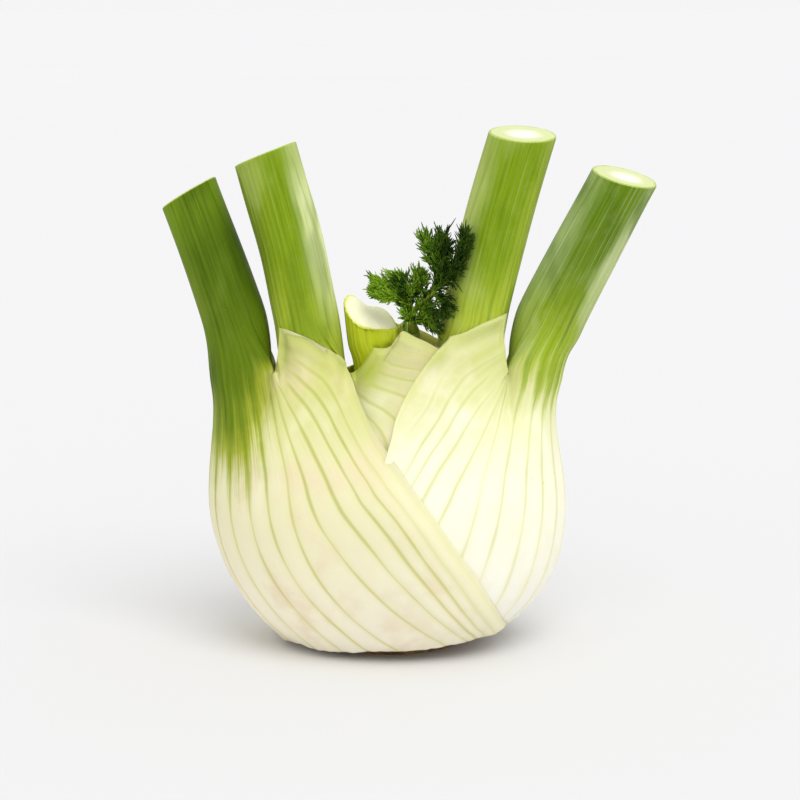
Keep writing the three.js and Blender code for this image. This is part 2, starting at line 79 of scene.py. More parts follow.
# The leaves from the outside in. flesh is how thick the side is at the foot, the belly and the
# notch, path the middle of the stalk as height and x, base how far its base stands out, radius its
# radius at the notch and the top, cut the slant of its cut to the right and the back in degrees,
# and margin the free margin as height and x. veins are the places of the main veins, counted from
# the leaf's own side at 0 over the crease beside the stalk at 1 to the free margin at 2, drift is
# how far they sink towards the foot, and green_to the places where the green ends. swollen is how
# far the cut face bulges.
LEAVES = [
    leaf_of(
        "outer_left_leaf", -1, flesh=(5, 9, 17.8), foot=FOOT_Z,
        path=[(77, -40.2), (84, -41), (91, -42.5), (98, -44.7), (112, -49.4), (126.8, -54.8)],
        base=12.2, radius=(9.1, 8.4), lean=0.03, cut=(-31, 5), back_shift=-5,
        margin=[
            (2, 29), (6, 31), (11.8, 31.1), (17.9, 28.7), (26.2, 24.1), (34.1, 18.9), (41.3, 14.3),
            (47.1, 10), (51.5, 6.5), (56.5, 2.9), (62.7, -2.2), (71, -7), (78, -9.8), (82.3, -12.9),
            (85.4, -17.7), (88, -22.5), (90, -29.6),
        ],
        veins=[0.12, 0.315, 0.51, 0.69, 0.83, 0.97, 1.19, 1.42, 1.60, 1.73, 1.84],
        drift=0.26, green_to=(0.8, 1.12),
    ),
    leaf_of(
        "outer_right_leaf", 1, flesh=(5, 9, 16), foot=FOOT_Z,
        path=[(77, 41.2), (84, 42.6), (91, 45.2), (98, 48.4), (112, 55.4), (131.5, 65.4)],
        base=12.2, radius=(9.6, 8.9), lean=-0.05, cut=(14, -11), back_shift=4,
        margin=[
            (2, -21), (9, -24), (25, -14), (38, -8), (50, -3), (61, 1), (66.7, 2.5), (72, 5.1),
            (78.6, 9.3), (83, 12.6), (86.6, 16.3), (89, 21), (91.6, 26.1), (94, 33),
        ],
        veins=[0.15, 0.34, 0.51, 0.67, 0.85, 1.0, 1.3, 1.53, 1.68, 1.79], green_to=(0.8, 1.08),
    ),
    leaf_of(
        "inner_left_leaf", -1, flesh=(8, 12, 18.8),
        path=[
            (77, -20.7), (84, -21.3), (91, -22.2), (98, -23.6), (112, -26.5), (126, -30.2), (137.5, -33.4),
        ],
        base=10.4, radius=(9.1, 9), cut=(-22, 4),
        margin=[
            (9, 8), (20, 12), (35, 15), (50, 18), (60, 20), (70, 21), (77, 20.5), (83.8, 15.5),
            (86.3, 11.5), (87.7, 8.1), (89.4, 4.5), (86.4, 2.3), (84.8, 0), (84.8, -3.6),
        ],
        veins=[0.15, 0.36, 0.56, 0.74, 0.88, 1.02, 1.2, 1.37, 1.5, 1.65, 1.755, 1.83],
    ),
    leaf_of(
        "inner_right_leaf", 1, flesh=(8, 12, 18.2),
        path=[(77, 22.7), (84, 23.2), (91, 24.2), (98, 25.5), (112, 28.9), (126, 32.5), (143.1, 37.4)],
        base=9.8, radius=(9, 9.1), lean=-0.02, cut=(4, -11),
        margin=[(9, -6), (25, -8), (50, -6), (66, 2), (76, 9), (81, 12), (84, 15)],
        veins=[0.15, 0.36, 0.56, 0.74, 0.88, 1.02, 1.25, 1.5, 1.75],
    ),
    leaf_of(
        "centre_leaf", -1, flesh=(6, 10, 11.5),
        path=[(77, -2.9), (82, -3.1), (87, -3.8), (92, -4.3)],
        base=7.2, radius=(6.8, 6.8), cut=(28, -40), stub=True,
        margin=[(9, 4), (30, 5), (60, 9), (74, 12), (80, 9)],
        veins=[0.2, 0.45, 0.7, 0.95, 1.3, 1.65], green_to=(1.4, 1.9), swollen=0.9,
    ),
]


def mix(a, b, t):
    return a + (b - a) * t


def within(x):
    return np.clip(x, 0, 1)


def half_round(across):
    return np.sqrt(within(1 - across**2))


def ease(low, high, x):
    t = within((np.asarray(x, float) - low) / (high - low))
    return t * t * (3 - 2 * t)


def through(points, x):
    """A smooth line through (x, y) points in order of x."""
    xs, ys = np.array(points, float).T
    last = len(xs) - 1
    x = np.clip(np.asarray(x, float), xs[0], xs[-1])
    i = np.clip(np.searchsorted(xs, x, side="left") - 1, 0, last - 1)
    before, after = np.maximum(i - 1, 0), np.minimum(i + 2, last)
    width = xs[i + 1] - xs[i]
    t = (x - xs[i]) / width
    start = (ys[i + 1] - ys[before]) / (xs[i + 1] - xs[before]) * width
    end = (ys[after] - ys[i]) / (xs[after] - xs[i]) * width
    rise = 3 * t**2 - 2 * t**3
    return ys[i] * (1 - rise) + start * (t**3 - 2 * t**2 + t) + ys[i + 1] * rise + end * (t**3 - t**2)


def boundary(k, z):
    """The boundary round leaf k at height z: how far it goes left, right and to the front."""
    z = np.asarray(z, float)
    core = CORE_X * ease(20, NOTCH_Z, z)
    power = mix(2, 2.8, ease(50, NOTCH_Z, z))
    left = through(LEFT_EDGE, z)
    right = through(RIGHT_EDGE, z) + WING
    depth = through(FRONT_EDGE, z) - WING * k
    for leaf in LEAVES[:k]:
        low, belly, notch = leaf.flesh
        flesh = mix(mix(low, belly, ease(0, 25, z)), notch, ease(40, NOTCH_Z, z))
        left = left - (flesh if leaf.side < 0 else WING)
        right = right - (flesh if leaf.side > 0 else WING)
    for side in (-1, 1):
        following = [leaf for leaf in LEAVES[k:] if leaf.side == side]
        if following:
            path = following[0].path
            shift = side * (through(path, z) - path[0][1])
            left = left + (shift if side < 0 else 0)
            right = right + (shift if side > 0 else 0)
    if k == len(LEAVES):
        left, right, depth = BORE - core, BORE + core, BORE + 0 * z
    return SimpleNamespace(left=left, right=right, depth=depth, core=core, power=power)


def reach(edge, side):
    """How far a boundary reaches from its middle on one side."""
    return np.where(np.asarray(side) < 0, edge.left + edge.core, edge.right - edge.core)


def own_edge(edge, side):
    return edge.left if side < 0 else edge.right


def on_boundary(edge, side, turn, z, grow=0.0):
    """Points on a boundary. turn is the angle from the leaf's own side, a quarter turn is the front."""
    def bend(v):
        return np.sign(v) * np.abs(v) ** (2 / edge.power)

    c = np.cos(turn)
    wide = reach(edge, np.where(c >= 0, side, -side)) + grow
    x = edge.core + side * wide * bend(c)
    y = -(edge.depth + grow) * bend(np.sin(turn))
    return np.stack(np.broadcast_arrays(x, y, z), -1)


def turn_at(edge, side, x):
    """The turn at which a boundary passes x."""
    out = side * (x - edge.core)
    share = np.clip(np.abs(out) / reach(edge, np.where(out >= 0, side, -side)), 0, 0.995)
    return np.arccos(np.sign(out) * share ** (edge.power / 2))


def front_at(edge, x, grow):
    """How far forward a boundary is at x."""
    share = np.abs(x - edge.core) / (reach(edge, np.where(x < edge.core, -1, 1)) + grow)
    inside = within(1 - np.minimum(share, 1) ** edge.power)
    return (edge.depth + grow) * inside ** (1 / edge.power)


def crease_turn(k, z):
    """Where the crease beside the stalk runs down the sheath."""
    leaf = LEAVES[k]
    following = boundary(k + 1, NOTCH_Z)
    gap = leaf.side * (own_edge(following, leaf.side) + 0.4)
    there = turn_at(boundary(k, NOTCH_Z), leaf.side, gap)
    return mix(math.radians(82), there, ease(-25, NOTCH_Z, z) ** 0.8)


def margin_at(leaf, t):
    """The free margin as height and x, at share t of the way from the foot to the flap's corner."""
    z, x = np.array(leaf.margin, float).T
    ways = np.cumsum(np.maximum(np.abs(np.diff(z, prepend=z[0])), 0.3 * np.abs(np.diff(x, prepend=x[0]))))
    return through(np.stack([ways, z], 1), t * ways[-1]), through(np.stack([ways, x], 1), t * ways[-1])


def wing_place(k, w, t, face):
    """A place on a wing as turn and height: w from crease to margin, t from foot to top."""
    leaf = LEAVES[k]
    crease_z = mix(leaf.foot, NOTCH_Z, t)
    margin_z, margin_x = margin_at(leaf, 1 - (1 - t) ** 1.35)
    shift = np.where(face < 0, leaf.back_shift * (1 - ease(70, 88, margin_z)), 0)
    margin = turn_at(boundary(k, margin_z), leaf.side, margin_x + shift)
    rise = w ** (1 + 1.2 * t**4)
    return face * mix(crease_turn(k, crease_z), margin, w), mix(crease_z, margin_z, rise)


def vein_run(k, q, t):
    """Where a vein that belongs at q runs at height t: to the notch above, aslant to the foot below."""
    leaf = LEAVES[k]
    aside = np.abs(q)
    w = within(aside - 1)
    if k < 2:
        bent = w ** ((1 + 1.2 * within((t - 0.1) / 0.9) ** 1.8) / 1.31)
    elif k == 2:
        bent = w ** (1 + 1.6 * within((t - 0.7) / 0.3) ** 2 + 0.77 * within(0.83 - t))
    else:
        bent = w
    sunk = leaf.drift * within(1 - t / 0.7) ** 2.6 * (q > 0)
    share = np.interp(aside, (0, 1, 1.16, 1.35, 1.54, 1.7, 2), (0, 1.15, 1.08, 0.78, 0.35, 0.04, 0))
    return np.sign(q) * (np.minimum(aside, 1) + bent + sunk * share)


def raised(k, turn, z):
    """The height of a place on a sheath, whose cut lower edge rises to the right."""
    leaf = LEAVES[k]
    rise = through(FOOT_RISE, leaf.side * np.cos(turn) * 30) if k < 2 else 0
    return z + rise * np.maximum(0, 1 - (z - leaf.foot) / 18) ** 2


def skin(k, turn, low):
    """The outer skin, which near the notch parts into the stalk's round base and the flap."""
    leaf = LEAVES[k]
    z = raised(k, turn, low)
    edge = boundary(k, z)
    following = boundary(k + 1, z)
    p = on_boundary(edge, leaf.side, turn, z)
    x = p[..., 0]
    parted = ease(54, NOTCH_Z, z)
    out, gap = own_edge(edge, leaf.side), own_edge(following, leaf.side)
    across = (np.abs(x) - (out + gap) / 2) / ((out - gap) / 2 + 0.3)
    base = leaf.base * half_round(across) * (1 - ease(0, 4, z - NOTCH_Z))
    base = np.where(leaf.side * x > 0, base, 0)
    flap = front_at(following, x, WING)
    target = np.minimum((base**6 + flap**6) ** (1 / 6), edge.depth + 0.5)
    p[..., 1] = np.sign(p[..., 1]) * mix(np.abs(p[..., 1]), target, parted)
    return p


def lining(k, turn, low, clearance=CLEARANCE):
    """The inner skin under a place on the outer one."""
    leaf = LEAVES[k]
    z = raised(k, turn, low)
    outer, inner = boundary(k, z), boundary(k + 1, z)
    c = np.cos(turn)
    wider = (reach(outer, leaf.side) / reach(inner, leaf.side)) ** (outer.power / 2)
    under = np.where(c > 0, np.arccos(np.clip(c * wider, 0, 0.97)) * np.sign(turn), turn)
    return on_boundary(inner, leaf.side, under, z, clearance)


def settled(k, points, q, edge, above):
    """Lets the flap of an outer sheath down on to the stalk that it clasps."""
    if k > 1:
        return points
    clasped = LEAVES[k + 2]
    x, y, z = points[..., 0], points[..., 1], points[..., 2]
    rounding = ease(0, 15, z - NOTCH_Z)
    half = mix(clasped.flesh[2] / 2 + 0.3, clasped.radius[0], rounding)
    deep = mix(clasped.base, clasped.radius[0], rounding)
    across = (x - through(clasped.path, z)) / half
    middle = clasped.lean * np.maximum(z - NOTCH_Z, 0)
    surface = deep * half_round(across) + np.sign(y) * middle
    resting, deepest = 0.4, 3.6
    down = np.clip(np.abs(y) - (surface + resting + above), 0, deepest)
    low, high = ((70, 86), (83, 89))[k]
    share = ease(low, high, z) * (1 - ease(3, 17, edge)) * ease(1.0, 1.6, np.abs(q))
    share = share * (1 - ease(0.7, 1.0, np.abs(across)))
    moved = points.copy()
    moved[..., 1] = np.sign(y) * (np.abs(y) - down * share)
    return moved


def unit(v):
    return v / np.linalg.norm(v)


def stalk_middle(leaf, z):
    z = np.asarray(z, float)
    return np.stack([through(leaf.path, z), leaf.lean * (z - NOTCH_Z), z], -1)


def stalk_way(leaf, z):
    """The direction that a stalk runs in at height z."""
    high = min(z + 1, leaf.top)
    return unit(stalk_middle(leaf, high) - stalk_middle(leaf, high - 2))


def stalk_ring(leaf, z, turn):
    """A ring of points round a stalk at height z, after its middle and the stalk's direction."""
    here, along = stalk_middle(leaf, z), stalk_way(leaf, z)
    front = np.array([0.0, -1.0, 0.0])
    own = unit(np.cross(front, along) * -leaf.side)
    r = mix(leaf.radius[0], leaf.radius[1], ease(NOTCH_Z, leaf.top, z))
    wide, deep = 1, 1
    if leaf.stub:
        lobe = 1 + 0.34 * ease(80, 90, z) * np.exp(-(((turn - 2.15) / 0.5) ** 2))
        waist = 1 - 0.46 * ease(82, 90, z) * np.sin(turn - 0.15) ** 8
        wide, deep = 1.08 * lobe, 0.9 * lobe * waist
    p = here + np.outer(np.cos(turn) * r * wide, own) + np.outer(np.sin(turn) * r * deep, front)
    return here, along, p


def cut_normal(leaf):
    """The direction that a stalk's slanting cut faces."""
    right, back = (math.radians(a) for a in leaf.cut)
    return unit(np.array([math.sin(right), math.sin(back), math.cos(right)]))


def to_cut(leaf, here, along, p, sunk):
    """Slides a ring along the stalk to the plane that lies this far below its cut."""
    normal = cut_normal(leaf)
    return p + np.outer(((here - p) @ normal - sunk) / (along @ normal), along)


class Shell:
    """Points, faces and what the materials need to know at each point.

    A face's look is SKIN, CUT for a cut end or WALL for the thin wall along a free edge.
    """

    KNOWN = ("vein", "spacing", "wing", "edge", "rib", "gap", "pith", "green")

    def __init__(self):
        self.points, self.known, self.faces, self.looks = [], [], [], []
        self.count = 0

    def add(self, points, **known):
        points = np.asarray(points, float)
        flat = points.reshape(-1, 3)
        shape = points.shape[:-1]
        rows = [np.broadcast_to(known.get(name, 0.0), shape).reshape(-1) for name in self.KNOWN]
        self.points.append(flat)
        self.known.append(np.stack(rows, -1))
        first = self.count
        self.count += len(flat)
        return np.arange(first, self.count).reshape(shape)

    def face(self, corners, look=SKIN, flip=False):
        corners = [tuple(int(c) for c in face) for face in corners]
        self.faces += [face[::-1] for face in corners] if flip else corners
        self.looks += [look] * len(corners)

    def sheet(self, at, flip=False, closed=False, look=SKIN):
        """Four-sided faces over a grid of point numbers."""
        if closed:
            at = np.concatenate([at, at[:, :1]], 1)
        quads = np.stack([at[:-1, :-1], at[:-1, 1:], at[1:, 1:], at[1:, :-1]], -1).reshape(-1, 4)
        self.face(quads, look, flip)

    def stitch(self, first, second, flip, look):
        """Faces between two rows that may have different counts."""
        i = j = 0
        faces = []
        while i < len(first) - 1 or j < len(second) - 1:
            ahead = (i + 1) / max(len(first) - 1, 1), (j + 1) / max(len(second) - 1, 1)
            if j == len(second) - 1 or (i < len(first) - 1 and ahead[0] <= ahead[1]):
                faces.append((first[i], first[i + 1], second[j]))
                i += 1
            else:
                faces.append((first[i], second[j + 1], second[j]))
                j += 1
        self.face(faces, look, flip)


def normals_of(points, faces):
    """The normal at each point, from the faces round it."""
    normals = np.zeros_like(points)
    for count in (3, 4):
        some = np.array([face for face in faces if len(face) == count])
        if not len(some):
            continue
        a, b, c = points[some[:, 0]], points[some[:, 1]], points[some[:, -1]]
        middle = points[some[:, 2]] if count == 4 else b
        cross = np.cross(middle - a, c - b) if count == 4 else np.cross(b - a, c - a)
        for corner in range(count):
            np.add.at(normals, some[:, corner], cross)
    return normals / np.maximum(np.linalg.norm(normals, axis=1, keepdims=True), 1e-12)


def wavering(places, seed, scale):
    """A gentle unevenness from -1 to 1 that is the same each time."""
    pick = np.random.default_rng(seed)
    total = np.zeros(places.shape[:-1])
    for _ in range(10):
        way = pick.normal(size=3)
        way *= 2 * math.pi / (scale * (0.6 + 1.2 * pick.random()) * np.linalg.norm(way))
        total += np.sin(places @ way + 2 * math.pi * pick.random())
    return total / 5


def vein_columns(leaf, front_step, back_step):
    """Places across the leaf, evenly spread between its veins, as vein count and place."""
    own_side, last = 0.5, len(leaf.veins)
    tail = (2 - leaf.veins[-1]) / (leaf.veins[-1] - leaf.veins[-2])
    knot_counts = [own_side, *range(1, last + 1), last + tail]
    knot_places = [0.0, *leaf.veins, 2.0]
    crease = float(np.interp(1.0, knot_places, knot_counts))

    def runs(step):
        for low, high in ((own_side, crease), (crease, last + tail)):
            yield np.linspace(low, high, max(2, round((high - low) / step) + 1))

    def place(count):
        return np.interp(count, knot_counts, knot_places)

    (middle, wing), (back_middle, back_wing) = runs(front_step), runs(back_step)
    front = np.concatenate([middle[1:], wing[1:]])
    back = np.concatenate([back_wing[::-1], back_middle[::-1][1:]])
    counts = np.concatenate([1 - back, front])
    places = np.concatenate([-place(back), place(front)])
    return counts, places, len(back_wing) - 1, len(wing) - 1


def to_free_edge(points, q):
    """How far each place of a sheath is from its free margin or from the top edge of its flap."""
    across = np.linalg.norm(np.gradient(points, axis=1), axis=-1)
    front = np.cumsum(across[:, ::-1], 1)[:, ::-1] - across
    back = np.cumsum(across, 1) - across
    down = np.linalg.norm(np.gradient(points, axis=0), axis=-1)
    below = np.cumsum(down[::-1], 0)[::-1] - down
    below = np.maximum(below, 0) + FAR * (1 - ease(1.02, 1.3, np.abs(q)))
    return np.clip(np.minimum(np.where(q > 0, front, back), below), 0, 28)


def leaf_shell(k, front_step, back_step, row_count, stalk_step):
    """One leaf as a closed skin: its sheath, its stalk with the slanting cut, and its lining."""
    leaf = LEAVES[k]
    top = leaf.top
    shell = Shell()
    counts, places, back_wing, front_wing = vein_columns(leaf, front_step, back_step)
    own = slice(back_wing, len(places) - front_wing)  # the columns from crease to crease
    t = np.linspace(0, 1, row_count)
    if k > 1:
        t = np.concatenate([np.linspace(0, 0.62, 8), np.linspace(0.64, 1, row_count)])

    def sheath_place(rows, q):
        """Places on the sheath as turn and height."""
        turn, z = wing_place(k, within(np.abs(q) - 1), rows, np.where(q >= 0, 1, -1))
        middle_z = mix(leaf.foot, NOTCH_Z, rows)
        inside = np.abs(q) < 1
        return np.where(inside, q * crease_turn(k, middle_z), turn), np.where(inside, middle_z, z)

    rows, q = np.meshgrid(t, places, indexing="ij")
    run = vein_run(k, q, rows)
    turn, z = sheath_place(rows, run)
    outer = skin(k, turn, z)
    across = np.linalg.norm(np.gradient(outer, axis=1), axis=-1)
    spacing = across / np.maximum(np.abs(np.gradient(counts)), 1e-6)
    spacing = np.stack([np.convolve(np.pad(row, 4, "edge"), np.ones(9) / 9, "valid") for row in spacing])
    edge = to_free_edge(outer, run)
    outer = settled(k, outer, run, edge, WING - CLEARANCE)
    green = 1 - ease(*leaf.green_to, np.abs(run))
    at = shell.add(
        outer, vein=counts, spacing=spacing, wing=run, edge=edge, gap=top - z, green=green,
        rib=ease(58, 80, z) * (1 - ease(1.0, 1.25, np.abs(run))),
    )
    shell.sheet(at)

    # The lining: two wings, and between them the hollow that the next leaf lies in.
    lined, hollow = 26, 34
    inner_q = np.concatenate([np.linspace(-2, -1, lined + 1), np.linspace(1, 2, lined + 1)])
    rows, q = np.meshgrid(t, inner_q, indexing="ij")
    turn, z = sheath_place(rows, q)
    edge = to_free_edge(lining(k, turn, z), q)
    inner = lining(k, turn, z, CLEARANCE - MARGIN_THIN * (1 - ease(0, 6, edge)))
    inner = settled(k, inner, q, edge, 0)
    rows_z = mix(leaf.foot, NOTCH_Z, t)
    crease_x = lining(k, crease_turn(k, rows_z), rows_z)[:, 0]
    widest = turn_at(boundary(k + 1, rows_z), leaf.side, crease_x)
    span = np.linspace(-1, 1, hollow + 1)[1:-1]
    turn = widest[:, None] * span
    z = raised(k, turn, rows_z[:, None])
    hollow_points = on_boundary(boundary(k + 1, z), leaf.side, turn, z, CLEARANCE)
    inner = np.concatenate([inner[:, : lined + 1], hollow_points, inner[:, lined + 1:]], 1)
    lining_end = inner.shape[1] - lined
    inside_at = shell.add(
        inner, vein=np.linspace(counts[0], counts[-1], inner.shape[1]), spacing=4.0, edge=FAR,
        wing=np.concatenate([inner_q[: lined + 1], span, inner_q[lined + 1:]]), gap=top - inner[..., 2],
    )
    shell.sheet(inside_at, flip=True)

    # The walls along the foot, both margins and the top edges of both flaps.
    shell.stitch(at[0], inside_at[0], True, WALL)
    shell.stitch(at[:, -1], inside_at[:, -1], True, WALL)
    shell.stitch(at[:, 0], inside_at[:, 0], False, WALL)
    shell.stitch(at[-1, : back_wing + 1], inside_at[-1, : lined + 1], False, WALL)
    shell.stitch(at[-1, own.stop - 1:], inside_at[-1, lining_end - 1:], False, WALL)

    # The stalk: rings that start on the sheath's top row and round themselves off above it.
    inside = inside_at[-1, lined: lining_end][::-1]
    rings = [np.concatenate([at[-1, own], inside])]
    ring = np.concatenate(shell.points)[rings[0]]
    opening = math.radians(100 if leaf.stub else 112)
    rest = 2 * math.pi - 2 * opening
    steps = (np.arange(len(inside)) + 1) / (len(inside) + 1)
    turn_in = opening + steps * rest
    turns = np.concatenate([opening * places[own], turn_in])
    first, last = counts[own][[0, -1]]
    more = round((last - first) / (2 * opening) * rest)
    veins = np.concatenate([counts[own], last + steps * more])
    wings = np.concatenate([places[own], np.minimum(turn_in, 2 * math.pi - turn_in) / opening])
    green_below = np.concatenate([green[-1, own], np.full(len(inside), green[-1, back_wing])])
    spacing_below = np.concatenate([spacing[-1, own], np.full(len(inside), 4.4)])
    spacing_above = 2 * math.pi * leaf.radius[0] / (last - first + more)
    foot = stalk_middle(leaf, NOTCH_Z)
    for level in np.linspace(NOTCH_Z, top, max(12, round((top - NOTCH_Z) / stalk_step)))[1:]:
        here, along, rounded = stalk_ring(leaf, level, turns)
        if level == top:
            rounded = to_cut(leaf, here, along, rounded, 0.25)
        risen = level - NOTCH_Z
        rings.append(shell.add(
            mix(ring + here - foot, rounded, ease(0, 9 if leaf.stub else 15, risen)),
            vein=veins, wing=wings, edge=FAR, rib=1.0, gap=top - level,
            spacing=mix(spacing_below, spacing_above, ease(0, 10, risen)),
            green=mix(green_below, 1, ease(0, 5, risen)),
        ))
    shell.sheet(np.stack(rings), closed=True)

    # The cut face, from its rim to its middle.
    flat = to_cut(leaf, *stalk_ring(leaf, top, turns), 0.0)
    centre = flat.mean(0)
    size = float(np.linalg.norm(flat - centre, axis=1).mean())
    normal = np.cross(flat[len(flat) // 4] - centre, flat[len(flat) // 2] - centre)
    normal = unit(normal) * math.copysign(1, normal[2])
    cap = rings[-1:]
    for share in (0.97, 0.93, 0.88, 0.82, 0.75, 0.66, 0.56, 0.45, 0.34, 0.22, 0.11):
        p = centre + (flat - centre) * share + normal * (leaf.swollen * (1 - share**2))
        cap.append(shell.add(p, vein=veins, spacing=1.0, wing=wings, pith=(1 - share) * size, edge=FAR))
    shell.sheet(np.stack(cap), closed=True, look=CUT)
    hub = shell.add((centre + normal * leaf.swollen)[None, :], pith=size, edge=FAR)[0]
    shell.face([(a, b, hub) for a, b in zip(cap[-1], np.roll(cap[-1], -1))], CUT)
    return shell


def squeeze_below_cut(leaf, points, known):
    """Draws the stalk's upper rings together under the slanting cut, so that they stay in order."""
    normal = cut_normal(leaf)
    here, along = stalk_middle(leaf, leaf.top), stalk_way(leaf, leaf.top)
    rib, gap, pith = (known[:, Shell.KNOWN.index(name)] for name in ("rib", "gap", "pith"))
    squeezed = (rib >= 1) & (gap > 0) & (pith == 0) & (points[:, 2] > NOTCH_Z + 4)
    share = within(1 - gap / (leaf.top - NOTCH_Z - 12))
    extra = (here - points) @ normal / (along @ normal) - gap / along[2]
    moved = points + along * (extra * ease(0, 1, share))[:, None]
    points[squeezed] = moved[squeezed]
    gap[squeezed] = np.maximum(((here - points) @ normal)[squeezed], 0)


def relief(k, points, known, shell):
    """Ribs, veins and the thin free margin, raised or sunk along the skin's own normal."""
    vein, spacing, wing, edge, rib, gap, pith, _ = known.T
    normals = normals_of(points, [face for face, look in zip(shell.faces, shell.looks) if look < WALL])
    height = points[:, 2]
    on_skin = (pith == 0) & ((edge < FAR) | (rib > 0))
    veined = (1 - rib) * ease(6, 13, edge)
    distance = np.abs(vein - np.round(vein)) * spacing
    groove_depth, groove_width, swell_height = 0.08, 0.45, 0.1
    deeper = 1 + 0.4 * wavering(points * [1, 1, 0.3], 60 + k, 18)
    groove = -groove_depth * deeper * np.exp(-(distance / groove_width) ** 2) * veined
    wave = 2 * math.pi * vein
    swell = swell_height * (0.5 - 0.5 * np.cos(wave)) * veined
    ribs = 0.1 * np.cos(wave * 2) + 0.05 * np.cos(wave * 5 + 1.3) + 0.05 * np.cos(wave * 3 + 0.7)
    ribs = rib * ribs * (1 + 0.5 * wavering(points * [1, 1, 0.15], 40 + k, 9))
    ribs = ribs * (1 - 0.6 * ease(0.6, 1.6, np.abs(wing)) * (height < NOTCH_Z + 3))
    thin = MARGIN_THIN * (1 - ease(0, 6, edge)) + 2 * MARGIN_THIN * (1 - ease(0, 3.2, edge))
    uneven = (0.2 * wavering(points * [1, 1, 0.5], 20 + k, 26) - 0.05) * ease(2, 10, height)
    lift = groove + swell + ribs - thin * (edge < FAR - 1) + uneven * ease(0, 6, edge)
    lift = np.where(on_skin, lift, 0) * np.where(gap < 0.6, 0.9, 1)
    points = points + normals * lift[:, None]
    if k < 2:
        torn = wavering(points * [1, 1, 0], 80 + k, 8) + 0.5 * wavering(points * [1, 1, 0], 90 + k, 3)
        low = FOOT_Z + through(FOOT_RISE, points[:, 0])
        points[:, 2] += 0.35 * torn * within(1 - (height - low) / 5) ** 2
    return points


def into_scene(name, data):
    thing = bpy.data.objects.new(name, data)
    bpy.context.scene.collection.objects.link(thing)
    return thing


def new_piece(name, points, faces, looks, materials, known):
    """A piece of points in metres, which carry numbers that its materials know by name."""
    mesh = bpy.data.meshes.new(name)
    mesh.from_pydata(points, [], faces)
    for kind, values in known.items():
        mesh.attributes.new(kind, "FLOAT", "POINT").data.foreach_set("value", values)
    for material in materials:
        mesh.materials.append(material)
    mesh.polygons.foreach_set("material_index", [look % 2 for look in looks])
    mesh.polygons.foreach_set("use_smooth", [look < WALL for look in looks])
    mesh.update()
    return into_scene(name, mesh)


def shader_colour(seen):
    """A colour as the eye sees it on screen, from 0 to 255, as the shader wants it."""
    levels = [v / 255 for v in seen]
    return (*(v / 12.92 if v <= 0.04045 else ((v + 0.055) / 1.055) ** 2.4 for v in levels), 1)


class Paint:
    """A material's nodes, put together from small steps."""

    def __init__(self, name):
        self.material = bpy.data.materials.new(name)
        self.material.use_nodes = True
        self.tree = self.material.node_tree
        self.places = self.node("TexCoord", {}, "Object")

    def feed(self, node, values):
        """Gives sockets of a node their numbers and colours, or links them to other nodes."""
        for name, value in values.items():
            socket = node.inputs[name]
            if isinstance(value, bpy.types.NodeSocket):
                self.tree.links.new(value, socket)
            else:
                socket.default_value = shader_colour(value) if socket.type == "RGBA" else value

    def node(self, kind, values, output, **settings):
        made = self.tree.nodes.new("ShaderNode" + kind)
        for key, value in settings.items():
            setattr(made, key, value)
        self.feed(made, values)
        return made.outputs[output]

    def known(self, name):
        return self.node("Attribute", {}, "Fac", attribute_name=name)

    def along(self, axis):
        return self.node("SeparateXYZ", {"Vector": self.places}, axis)

    def math(self, operation, *values):
        return self.node("Math", dict(enumerate(values)), 0, operation=operation)

    def times(self, *values):
        return reduce(lambda a, b: self.math("MULTIPLY", a, b), values)

    def plus(self, *values):
        return reduce(lambda a, b: self.math("ADD", a, b), values)

    def minus(self, a, b):
        return self.math("SUBTRACT", a, b)

    def swing(self, noise, amount):
        """A noise turned into a number that goes evenly to both sides of nought."""
        return self.times(self.minus(noise, 0.5), amount)

    def step(self, value, low, high, to_low=0.0, to_high=1.0):
        """Goes smoothly from one number to another as value passes from low to high."""
        ends = {"Value": value, "From Min": low, "From Max": high, "To Min": to_low, "To Max": to_high}
        return self.node("MapRange", ends, "Result", interpolation_type="SMOOTHSTEP")

    def fall(self, value, low, high):
        """Goes smoothly from 1 to 0 as value passes from low to high."""
        return self.step(value, low, high, 1.0, 0.0)

    def blend(self, share, a, b):
        return self.node("Mix", {"Factor": share, "A": a, "B": b}, "Result", data_type="RGBA")

    def coats(self, colour, *coats):
        """Lays colours over one another, each as thickly as the product of the shares before it."""
        for *shares, over in coats:
            colour = self.blend(self.times(*shares), colour, over)
        return colour

    def stretched(self, scale):
        return self.node("Mapping", {"Vector": self.places, "Scale": scale}, "Vector")

    def noise(self, size, detail=2.0, rough=0.5, vector=None):
        """Noise from 0 to 1 whose lumps are about this many metres across."""
        vector = vector or self.places
        lumps = {"Vector": vector, "Scale": 1 / size, "Detail": detail, "Roughness": rough}
        return self.node("TexNoise", lumps, "Fac")

    def lines(self, across, along, detail=2.0):
        """Noise over two known numbers, for streaks that follow the veins."""
        vector = self.node("CombineXYZ", {"X": across, "Y": along}, "Vector")
        return self.noise(1.0, detail, vector=vector)

    def bump(self, height, strength, distance):
        return self.node("Bump", {"Height": height, "Strength": strength, "Distance": distance}, "Normal")

    def surface(self, colour, rough, shine, **others):
        """Sets the shader's own sockets. Those named in others have _ where their names have a space."""
        shader = self.tree.nodes["Principled BSDF"]
        self.feed(shader, {"Base Color": colour, "Roughness": rough, "Specular IOR Level": shine})
        self.feed(shader, {name.replace("_", " "): value for name, value in others.items()})
        return self.material


